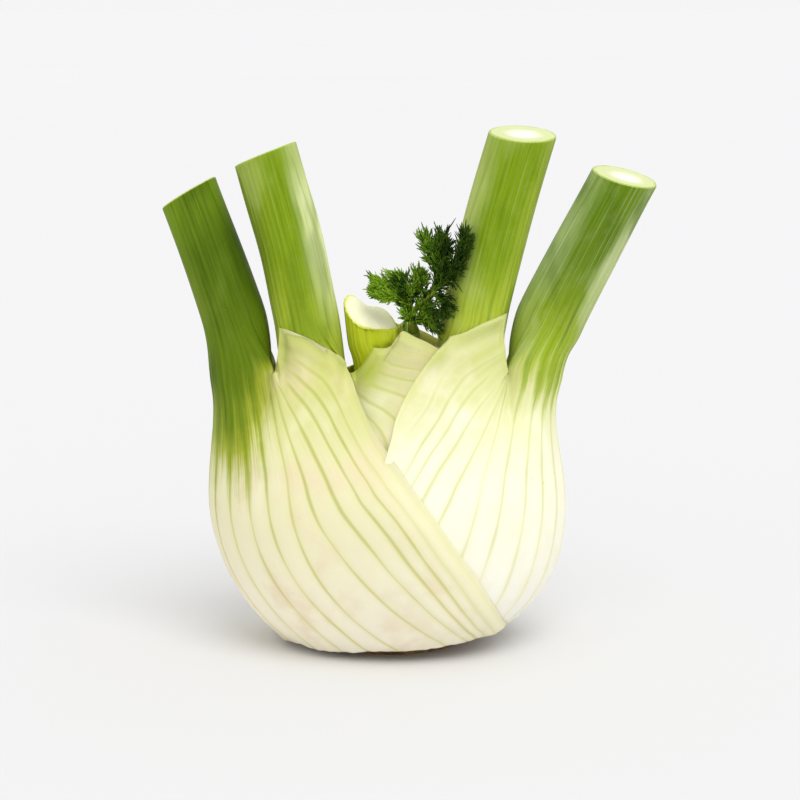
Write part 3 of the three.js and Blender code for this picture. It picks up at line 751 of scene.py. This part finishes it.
def skin_material(name, look):
    """The waxy ribbed skin: green on the stalk, fading to cream on the sheath, veined throughout."""
    p = Paint(name)
    vein, spacing, wing, edge, on_stalk = map(p.known, ("vein", "spacing", "wing", "edge", "green"))
    x, up = p.along("X"), p.times(p.along("Z"), 1000.0)
    aside = p.math("ABSOLUTE", wing)

    nearest = p.math("ROUND", vein)
    distance = p.times(p.math("ABSOLUTE", p.minus(vein, nearest)), spacing)
    varied = p.lines(p.times(nearest, 7.3), p.times(up, 0.05))
    width = p.step(varied, 0.3, 0.7, 0.34, 0.72)
    line = p.minus(1.0, p.step(p.math("DIVIDE", distance, width), 0.0, 1.4))
    halo = p.minus(1.0, p.step(distance, 0.2, 2.2))

    streak, fine, hair = (
        p.lines(p.times(vein, across), p.times(up, along), detail)
        for across, along, detail in ((2.6, 0.035, 4.0), (10.0, 0.05, 3.0), (22.0, 0.04, 2.0))
    )
    cloud = p.noise(0.014, 4.0, 0.55)
    patch = p.noise(0.012, 2.0, 0.5, p.stretched((1.0, 1.0, 0.35)))
    mottle = p.noise(0.004, 4.0, 0.6)

    # Paler towards the foot: partly the base's own paler cream, partly painted light that lifts the shade
    # under the overhanging belly.
    flesh = p.coats(
        look.foot,
        (p.step(up, 4, 48), look.flesh),
        (p.step(up, 46, 84), look.neck),
        (p.step(cloud, 0.46, 0.66), look.blush_share, look.blush),
        (p.step(patch, 0.5, 0.75), 0.4, look.bright),
        (p.fall(edge, 1.0, 10.0), p.step(up, 74, 88), look.flap_share, look.flap),
        (p.fall(edge, 4.0, 11.0), p.fall(up, 36, 66), 0.6, look.skirt),
        (halo, 0.3, look.halo),
        (p.step(hair, 0.54, 0.7), p.step(up, 34, 74, 0.0, 0.22), look.vein),
        (
            p.fall(x, -0.006, 0.0025), p.step(up, 68, 80), p.step(aside, 1.02, 1.15),
            look.joined, look.joined_green,
        ),
    )

    place = p.plus(aside, p.swing(patch, 0.5))
    bloom = p.math("MAXIMUM", p.fall(place, 0.2, 0.5), p.step(place, 1.0, 1.4))
    rib_line = p.math("COSINE", p.times(vein, 4 * math.pi))
    green = p.coats(
        look.green_side,
        (p.step(place, 0.3, 0.6), look.green_middle),
        # The crease green: painted shade on the outer left leaf, a painted highlight on the inner left
        # leaf.
        (p.step(place, 0.98, 1.32), look.green_crease),
        (p.fall(up, 84, 112), look.green_low),
        (p.step(p.known("gap"), 3.0, 18.0, look.top_share, 0.0), look.green_top),
        (p.step(streak, 0.5, 0.74), 0.55, look.green_dark),
        (p.step(fine, 0.52, 0.8), 0.25, look.green_light),
        (bloom, 0.65, p.step(hair, 0.48, 0.66), look.bloom, look.green_light),
        (p.step(rib_line, 0.4, 1.0), p.step(streak, 0.6, 0.35), look.rib_pale, look.green_light),
        (p.step(patch, 0.54, 0.7), 0.5, look.green_dark),
        (p.step(patch, 0.46, 0.3), 0.3, look.green_light),
        (p.step(mottle, 0.5, 0.75), 0.07, look.green_light),
    )

    # The green runs down into the cream in uneven tongues, furthest along the veins.
    tongues = p.plus(
        p.times(halo, look.vein_run), p.swing(streak, 11.0), p.swing(fine, 20.0), p.swing(cloud, 20.0)
    )
    tongues = p.minus(tongues, p.step(aside, 0.5, 1.05, 0.0, look.crease_rise))
    greenness = p.times(p.step(p.plus(up, tongues), *look.fade), on_stalk)
    vein_colour = p.coats(
        look.vein_low, (p.step(up, 14, 58), look.vein), (p.step(greenness, 0.0, 0.4), look.green_vein)
    )
    spots = p.noise(0.0016)
    colour = p.coats(
        flesh,
        (p.step(greenness, 0.0, 0.6), look.turning),
        (p.step(greenness, 0.3, 1.05), green),
        (
            line, p.step(edge, 3.5, 9.0), p.step(up, 60, 86, 1.0, 0.6), p.step(varied, 0.3, 0.6, 0.6, 1.0),
            p.step(greenness, 0.45, 0.95, look.vein_share, 0.15), vein_colour,
        ),
        (p.fall(edge, 0.9, 2.6), p.step(up, 60, 80, 0.25, 1.0), look.rim_share, look.rim),
        (p.step(spots, 0.68, 0.76), p.step(cloud, 0.52, 0.7), 0.35, look.speck),
    )
    rough = p.step(p.plus(mottle, p.times(fine, 0.4)), 0.4, 1.0, 0.4, 0.56)
    grain = p.plus(p.times(fine, 0.6), p.times(mottle, 0.3), p.times(streak, 0.4))
    return p.surface(
        colour, rough, look.shine, Subsurface_Weight=look.soft, Subsurface_Radius=(1.0, 0.85, 0.4),
        Subsurface_Scale=0.0025, Normal=p.bump(grain, 0.3, 0.0002),
    )


def cut_material(name, look):
    """The moist cut end of a stalk: a green rim, a broad pale green ring and a white pith."""
    p = Paint(name)
    grain = p.noise(0.0007, 3.0, 0.6)
    bundles = p.math("COSINE", p.times(p.known("vein"), 8 * math.pi))
    wavy = p.plus(p.known("pith"), p.swing(p.noise(0.004), 1.4), p.times(bundles, 0.12))
    colour = p.coats(
        look.cut_rim,
        (p.step(wavy, 0.2, 0.9), look.cut_ring),
        (p.step(wavy, *look.cut_width), look.cut_pith),
        (p.step(grain, 0.45, 0.7), 0.3, look.cut_grain),
    )
    return p.surface(
        colour, p.step(grain, 0.3, 0.7, 0.35, 0.55), 0.35, Subsurface_Weight=0.25,
        Subsurface_Radius=(1.0, 0.9, 0.5), Subsurface_Scale=0.002, Normal=p.bump(grain, 0.5, 0.0003),
    )


# The greens of a stalk: on its own side, in the middle, in the crease and low down, and of its
# darker and lighter streaks. The crease green is painted shade on the outer left leaf and a painted
# highlight on the inner left leaf.
GREENS = ("green_side", "green_middle", "green_crease", "green_low", "green_dark", "green_light")


def look_of(*greens, **changes):
    """A leaf's greens and finish, as changes to what most leaves share."""
    look = dict(
        # foot is paler cream: partly the base's own colour, partly painted light against the shade under
        # the belly.
        foot=(255, 246, 222), flesh=(240, 237, 200), neck=(226, 227, 160), bright=(250, 247, 222),
        blush=(234, 214, 182), blush_share=0.5, flap=(192, 198, 106), flap_share=0.7,
        skirt=(250, 245, 208), halo=(224, 222, 148), vein=(160, 170, 40), vein_low=(204, 192, 108),
        vein_share=0.6, green_vein=(126, 148, 16), turning=(180, 190, 84), joined=0.0,
        joined_green=(172, 188, 52), crease_rise=4.0, vein_run=8.0, rim=(206, 212, 124), rim_share=0.4,
        speck=(206, 160, 96), rib_pale=0.15, bloom=0.7, green_top=(126, 154, 20), top_share=0.6,
        cut_rim=(168, 190, 76), cut_ring=(212, 221, 156), cut_pith=(248, 249, 232),
        cut_grain=(228, 230, 190), cut_width=(2.8, 6.8), soft=0.2, shine=0.08,
    )
    look.update(zip(GREENS, greens), **changes)
    return SimpleNamespace(**look)


LOOKS = [
    # The outer left leaf: its darker cream and neck are partly its own colour, partly painted shade on the
    # side away from the key; its dark crease green is painted shade beside the crease.
    look_of(
        (98, 124, 20), (78, 106, 8), (60, 86, 8), (92, 118, 12), (52, 78, 5), (136, 156, 60),
        fade=(38, 78), vein_run=5.0, neck=(202, 206, 120), flap=(172, 180, 78), flap_share=0.85,
        flesh=(232, 228, 188), bright=(246, 242, 214), crease_rise=14.0, bloom=0.3,
        green_top=(118, 150, 26), top_share=0.7, turning=(170, 178, 58),
    ),
    # The outer right leaf: its paler cream and pale grey-green own side are partly its own colour and
    # bloom, partly painted light on the side the key lights.
    look_of(
        (188, 202, 142), (98, 128, 18), (152, 174, 102), (150, 174, 36), (76, 106, 12),
        (200, 212, 162), foot=(255, 253, 240), flesh=(249, 248, 222), neck=(214, 217, 142),
        bright=(254, 253, 240), blush=(248, 238, 210), flap=(200, 207, 132), skirt=(250, 247, 210),
        halo=(238, 238, 190), vein=(182, 192, 92), vein_low=(222, 216, 150), vein_share=0.45,
        turning=(196, 208, 110), fade=(66, 92), rib_pale=0.3, bloom=1.0, green_top=(104, 136, 12),
    ),
    # The inner left leaf: its near-white crease green is a painted highlight along the right edge of its
    # stalk.
    look_of(
        (116, 142, 20), (126, 154, 12), (232, 241, 180), (172, 191, 50), (96, 126, 10),
        (200, 214, 126), neck=(204, 205, 146), flesh=(240, 239, 194), flap=(196, 201, 122),
        flap_share=0.5, joined=0.9, bloom=0.45, fade=(76, 90), vein_share=0.4,
    ),
    look_of(
        (158, 181, 46), (126, 156, 12), (172, 188, 100), (190, 206, 64), (98, 132, 10),
        (208, 218, 142), fade=(74, 90),
    ),
    look_of(
        (198, 209, 48), (190, 202, 38), (206, 216, 64), (184, 196, 30), (136, 154, 14),
        (226, 232, 120), fade=(68, 80), rib_pale=0.1, bloom=0.2, top_share=0.0, cut_rim=(214, 222, 84),
        cut_ring=(254, 251, 196), cut_pith=(255, 253, 216), cut_grain=(252, 249, 204),
        cut_width=(0.6, 1.6),
    ),
]


def make_leaf(k, *fineness):
    leaf = LEAVES[k]
    shell = leaf_shell(k, *fineness)
    points, known = np.concatenate(shell.points), np.concatenate(shell.known)
    squeeze_below_cut(leaf, points, known)
    points = relief(k, points, known, shell)
    name = leaf.name.replace("_leaf", "")
    piece = new_piece(
        name + "_fennel_leaf", (points * MM).tolist(), shell.faces, shell.looks,
        [skin_material(name + "_skin", LOOKS[k]), cut_material(name + "_cut", LOOKS[k])],
        {kind: known[:, i].astype(np.float32) for i, kind in enumerate(Shell.KNOWN)},
    )
    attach(piece, "root")
    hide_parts(leaf.name)


# How finely each leaf is divided: a column's share of the way between two veins, in front and
# behind, the rows of the sheath, and the millimetres between two rings of the stalk.
FINENESS = [
    (1 / 12, 1 / 5, 190, 0.6), (1 / 12, 1 / 5, 190, 0.6), (1 / 10, 1 / 5, 90, 0.6),
    (1 / 10, 1 / 5, 70, 0.6), (1 / 10, 1 / 6, 60, 0.4),
]
for order, fineness in enumerate(FINENESS):
    make_leaf(order, *fineness)

# The young frond: its branches as bent lines, the radius at the start and end of each, and how many
# sprays it bears.
FROND = [
    ([(7.5, 0, 8.8), (7.5, 0, 45), (7.5, 0, 84), (7.2, -1.5, 89), (6.7, -2.5, 93)], (2.8, 1.0), 0),
    ([(6.7, -2.5, 93), (9.3, -4, 96.3), (12.4, -5.5, 99.4), (14.8, -7, 101.6)], (0.9, 0.6), 24),
    ([(12.4, -5.5, 99.4), (14, -7, 104), (13.2, -7, 108.5), (12, -6.4, 111.5)], (0.6, 0.3), 84),
    ([(14, -7, 104), (15, -7, 108.5), (15, -6.6, 112)], (0.5, 0.3), 56),
    ([(14.8, -7, 101.6), (18, -9, 105.5), (20.2, -9.8, 110), (21, -10, 113)], (0.6, 0.3), 88),
    ([(12.4, -5.5, 99.4), (15.2, -7.6, 97.5), (15.4, -8.4, 93)], (0.5, 0.3), 44),
    ([(6.7, -2.5, 93), (3.8, -3, 97.4), (0.8, -3.2, 99.9), (-1.2, -3, 100.8)], (0.8, 0.3), 76),
    ([(3.8, -3, 97.4), (1.2, -4.4, 98.4), (-1.2, -4.9, 98.4)], (0.5, 0.3), 44),
    ([(6.7, -2.5, 93), (6.4, -3.4, 97.4), (5.2, -3.8, 100.8), (3.8, -3.6, 102.4)], (0.7, 0.3), 56),
    ([(6.4, -3.4, 97.4), (8.2, -4.6, 100.4), (8.6, -5, 102.2)], (0.5, 0.3), 42),
    ([(7, -1.8, 90.5), (9.3, -4.6, 92), (12, -6, 91)], (0.5, 0.3), 66),
    ([(6.9, -2, 91), (5.6, -4.8, 92.5), (4.8, -6, 91)], (0.5, 0.3), 54),
    ([(8, -3.2, 94.8), (10.6, -5.8, 95), (12.2, -7, 92.4)], (0.5, 0.3), 60),
]


def bent(line, steps):
    """Points evenly along a smooth line through the given ones."""
    line = np.array(line, float)
    at = np.linspace(0, len(line) - 1, len(line))
    fine = np.linspace(0, len(line) - 1, steps)
    return np.stack([through(list(zip(at, line[:, i])), fine) for i in range(3)], -1)


def clear_of_leaves(p):
    """Whether a point is free of the right stalk, the cut stub and the sheaths round the frond."""
    stalk_room = 9.8
    aside, back = p[0] - through(LEAVES[3].path, p[2]), p[1] - LEAVES[3].lean * (p[2] - NOTCH_Z)
    if math.hypot(aside, back) < stalk_room or aside > -5.2:
        return False
    if p[0] < 3.6 and p[2] < 100.5 - (p[0] + 9) * 0.5 and abs(p[1]) < 8:
        return False
    return p[2] > 92.5 or (abs(p[1]) < 7.4 and p[2] > 85.5 and p[0] > 4.4)


class Threads:
    """Many thin tubes gathered into one mesh."""

    def __init__(self):
        self.points, self.faces, self.tone, self.tip = [], [], [], []

    def tube(self, line, radii, sides, tone, tips=(0.0, 1.0)):
        first = len(self.points)
        line = [Vector(p) for p in line]
        for i, at in enumerate(line):
            along = (line[min(i + 1, len(line) - 1)] - line[max(i - 1, 0)]).normalized()
            helper = Vector((0, 1, 0)) if abs(along.z) > 0.9 else Vector((0, 0, 1))
            one = along.cross(helper).normalized()
            two = along.cross(one)
            for s in range(sides):
                a = 2 * math.pi * s / sides
                self.points.append(at + (one * math.cos(a) + two * math.sin(a)) * radii[i])
            self.tone += [tone] * sides
            self.tip += [mix(*tips, i / (len(line) - 1))] * sides
        for i in range(len(line) - 1):
            for s in range(sides):
                a = first + i * sides + s
                b = first + i * sides + (s + 1) % sides
                self.faces.append((a, a + sides, b + sides, b))
        self.faces.append(tuple(first + s for s in range(sides)))
        self.faces.append(tuple(first + (len(line) - 1) * sides + s for s in range(sides))[::-1])

    def make(self, name, material):
        points = [(p * MM)[:] for p in self.points]
        known = {"tone": self.tone, "tip": self.tip}
        return new_piece(name, points, self.faces, [SKIN] * len(self.faces), [material], known)


def turned(way, axis, angle):
    return Matrix.Rotation(angle, 3, axis) @ way


def sprig_threads():
    """The feathery frond: branches that bear curved sprays, each a bundle of fine threads."""
    pick = random.Random(5)
    threads = Threads()

    def curve(root, way, length, curl):
        return [root + way * (length * u) + curl * (length * u * u) for u in (0, 0.3, 0.6, 0.82, 1)]

    def thread(root, way, length, curl, radius, tone):
        line = curve(root, way, length, curl)
        if all(clear_of_leaves(at) for at in line[1:]):
            radii = [radius, radius, radius * 0.9, radius * 0.75, radius * 0.3]
            threads.tube(line, radii, 4, tone, (0.1, 1.0))

    def spray(root, way, along, length):
        curl = (along - way) * pick.uniform(-0.5, 0.9) + Vector((0, 0, pick.uniform(-0.35, 0.3)))
        line = curve(root, way, length, curl)
        if not all(clear_of_leaves(at) for at in line[1:3]):
            return
        tone = pick.random()
        if clear_of_leaves(line[3]):
            threads.tube(line, [0.28, 0.27, 0.25, 0.2, 0.1], 4, tone, (0.0, 0.9))
        count = pick.randint(6, 9)
        turn = pick.uniform(0, 6.28)
        for n in range(count):
            turn += 2.4
            share = 0.12 + 0.8 * (n + 0.5) / count
            start = root + way * (length * share) + curl * (length * share * share)
            heading = (way + curl * 2 * share).normalized()
            axis = turned(heading.orthogonal().normalized(), heading, turn)
            aside = turned(heading, axis, pick.uniform(0.22, 0.6))
            bow = (heading - aside) * pick.uniform(-0.3, 1.3) + axis * pick.uniform(-0.4, 0.4)
            reach_out = length * pick.uniform(0.45, 0.9) * (1.1 - 0.35 * share)
            thread(start, aside, reach_out, bow, pick.uniform(0.15, 0.23), tone + pick.uniform(-0.25, 0.25))

    for line, (start, end), count in FROND:
        axis = [Vector(p) for p in bent(line, 14 if count else 24)]
        radii = [mix(start, end, i / (len(axis) - 1)) for i in range(len(axis))]
        threads.tube(axis, radii, 8, 2.0 if start > 0.65 else 1.3)
        for n in range(count):
            share = 0.1 + 0.9 * (n + pick.random()) / count
            place = share * (len(axis) - 1)
            i = min(int(place), len(axis) - 2)
            root = axis[i].lerp(axis[i + 1], place - i)
            along = (axis[i + 1] - axis[i]).normalized()
            out = turned(along.orthogonal().normalized(), along, n * 2.4 + pick.uniform(-0.4, 0.4))
            angle = pick.uniform(0.25, 0.8) * (1.15 - 0.5 * share)
            way = (along * math.cos(angle) + out * math.sin(angle)).normalized()
            spray(root, way, along, pick.uniform(2.8, 4.8) * (1.2 if line[0][0] > 12 else 1))
    return threads


def frond_material():
    """Fine dark green threads, with painted light on the left and painted shade on the right, brighter
    towards the tips, on a yellowish stem.
    """
    p = Paint("feathery_green")
    tone, x = p.known("tone"), p.along("X")
    cloud = p.noise(0.006)
    green = p.coats(
        (28, 58, 4),
        (p.step(tone, 0.1, 0.9), (98, 140, 20)),
        # painted light: the threads on the left are brightened
        (p.fall(x, 0.003, 0.012), p.step(cloud, 0.62, 0.42), 0.75, (144, 184, 36)),
        (p.step(p.known("tip"), 0.4, 1.0), 0.45, (150, 190, 62)),
        (p.step(cloud, 0.48, 0.68), 0.6, (26, 58, 6)),
        # painted shade: the right plume is darkened towards the right
        (p.step(x, 0.010, 0.017, 0.0, 0.75), (18, 42, 4)),
    )
    stem = p.blend(p.step(cloud, 0.3, 0.7), (112, 138, 28), (160, 162, 70))
    colour = p.blend(p.step(tone, 1.35, 1.9), green, stem)
    fuzz = p.bump(p.noise(0.0005), 0.3, 0.0001)
    return p.surface(colour, p.step(cloud, 0.3, 0.7, 0.45, 0.65), 0.12, Normal=fuzz)


frond = sprig_threads().make("frond_threads", frond_material())
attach(frond, "root")
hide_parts("frond_sprig")


def deselect_all():
    bpy.ops.object.select_all(action="DESELECT")


def cork_material():
    """The trimmed root plate: dry corky brown, paler where it was cut."""
    p = Paint("corky_root")
    rings = p.noise(0.003, 4.0, 0.65, p.stretched((1.0, 1.0, 3.0)))
    cloud = p.noise(0.01, 3.0)
    colour = p.coats(
        (112, 82, 44),
        (p.step(rings, 0.35, 0.7), (176, 142, 92)),
        (p.step(cloud, 0.45, 0.7), 0.6, (84, 60, 34)),
    )
    return p.surface(colour, p.step(rings, 0.3, 0.7, 0.75, 0.95), 0.2, Normal=p.bump(rings, 0.8, 0.0008))


def make_root_plate():
    """The root plate, drawn up from its flat cut by extruding and widening."""
    def half_sizes(z, inset):
        edge = boundary(2, z)
        return float(edge.right + edge.left) / 2 - inset, float(edge.depth) - inset

    deselect_all()
    bpy.ops.mesh.primitive_cylinder_add(vertices=160, radius=MM, depth=0.0006, location=(0, 0, 0.0003))
    plate = bpy.context.object
    bpy.ops.object.mode_set(mode="EDIT")
    bpy.ops.mesh.select_all(action="SELECT")
    low = boundary(2, 0.0)
    middle = float(low.right - low.left) / 2
    height, before = 0.6, half_sizes(0.0, 1.8)
    bpy.ops.transform.resize(value=(*before, 1), center_override=(0, 0, 0))
    bpy.ops.transform.translate(value=(middle * MM, 0, 0))
    for level in (1.4, 2.6, 4.2, 5.8, 7.2, 8.3):
        now = half_sizes(level, 0.5)
        bpy.ops.mesh.select_mode(type="FACE")
        bpy.ops.mesh.select_all(action="DESELECT")
        bpy.ops.object.mode_set(mode="OBJECT")
        for polygon in plate.data.polygons:
            polygon.select = polygon.normal.z > 0.9
        bpy.ops.object.mode_set(mode="EDIT")
        rise = (level - height) * MM
        bpy.ops.mesh.extrude_region_move(TRANSFORM_OT_translate={"value": (0, 0, rise)})
        wider = (now[0] / before[0], now[1] / before[1], 1)
        bpy.ops.transform.resize(value=wider, center_override=(middle * MM, 0, level * MM))
        before, height = now, level
    bpy.ops.mesh.select_all(action="SELECT")
    bpy.ops.mesh.normals_make_consistent(inside=False)
    bpy.ops.object.mode_set(mode="OBJECT")
    group = plate.vertex_groups.new(name="side")
    group.add([v.index for v in plate.data.vertices if 0.0002 < v.co.z < 0.0082], 1.0, "REPLACE")
    lumps = bpy.data.textures.new("root_lumps", "CLOUDS")
    lumps.noise_scale = 0.004
    rough = plate.modifiers.new("rough", "DISPLACE")
    rough.texture = lumps
    rough.texture_coords = "LOCAL"
    rough.strength = 0.0016
    rough.mid_level = 0.75
    rough.vertex_group = "side"
    bpy.ops.object.modifier_apply(modifier="rough")
    bpy.ops.object.transform_apply(location=True, rotation=True, scale=True)
    plate.name = plate.data.name = "root_plate_cork"
    plate.data.materials.append(cork_material())
    bpy.ops.object.shade_smooth_by_angle(angle=math.radians(50))
    deselect_all()
    return plate


root_plate = make_root_plate()
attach(root_plate, "root")
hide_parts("root_plate")


# The studio: a pale floor, a soft key from the upper right in front, and even light all round.
def make_floor():
    deselect_all()
    bpy.ops.mesh.primitive_plane_add(size=400, location=(0, 0, 0))
    floor = bpy.context.object
    floor.name = "pale_floor"
    p = Paint("pale_floor_paper")
    tone = p.noise(0.6, 1.0)
    colour = p.blend(tone, (223, 223, 225), (225, 225, 227))
    floor.data.materials.append(p.surface(colour, p.step(tone, 0.0, 1.0, 0.85, 0.95), 0.0))


def make_light():
    world = bpy.data.worlds.new("studio")
    bpy.context.scene.world = world
    world.use_nodes = True
    around = world.node_tree.nodes["Background"]
    around.inputs["Color"].default_value = (0.913, 0.913, 0.913, 1)
    around.inputs["Strength"].default_value = 1.0
    key = into_scene("key", bpy.data.lights.new("key", "SUN"))
    key.data.energy = 1.2
    key.data.angle = math.radians(40)
    key.data.color = (1.0, 0.99, 0.965)
    key.rotation_euler = Vector((-0.2, 0.5, -0.84)).to_track_quat("-Z", "Y").to_euler()


def make_camera():
    target = Vector((0.00365, 0, 0.0686))
    distance, looking_down = 0.624, math.radians(10)
    way = Vector((0, math.cos(looking_down), -math.sin(looking_down)))
    camera = into_scene("camera", bpy.data.cameras.new("camera"))
    camera.data.lens = 100
    camera.data.sensor_width = 36
    camera.location = target - way * distance
    camera.rotation_euler = way.to_track_quat("-Z", "Y").to_euler()
    bpy.context.scene.camera = camera


make_floor()
make_light()
make_camera()
bpy.context.scene.view_settings.view_transform = "Standard"
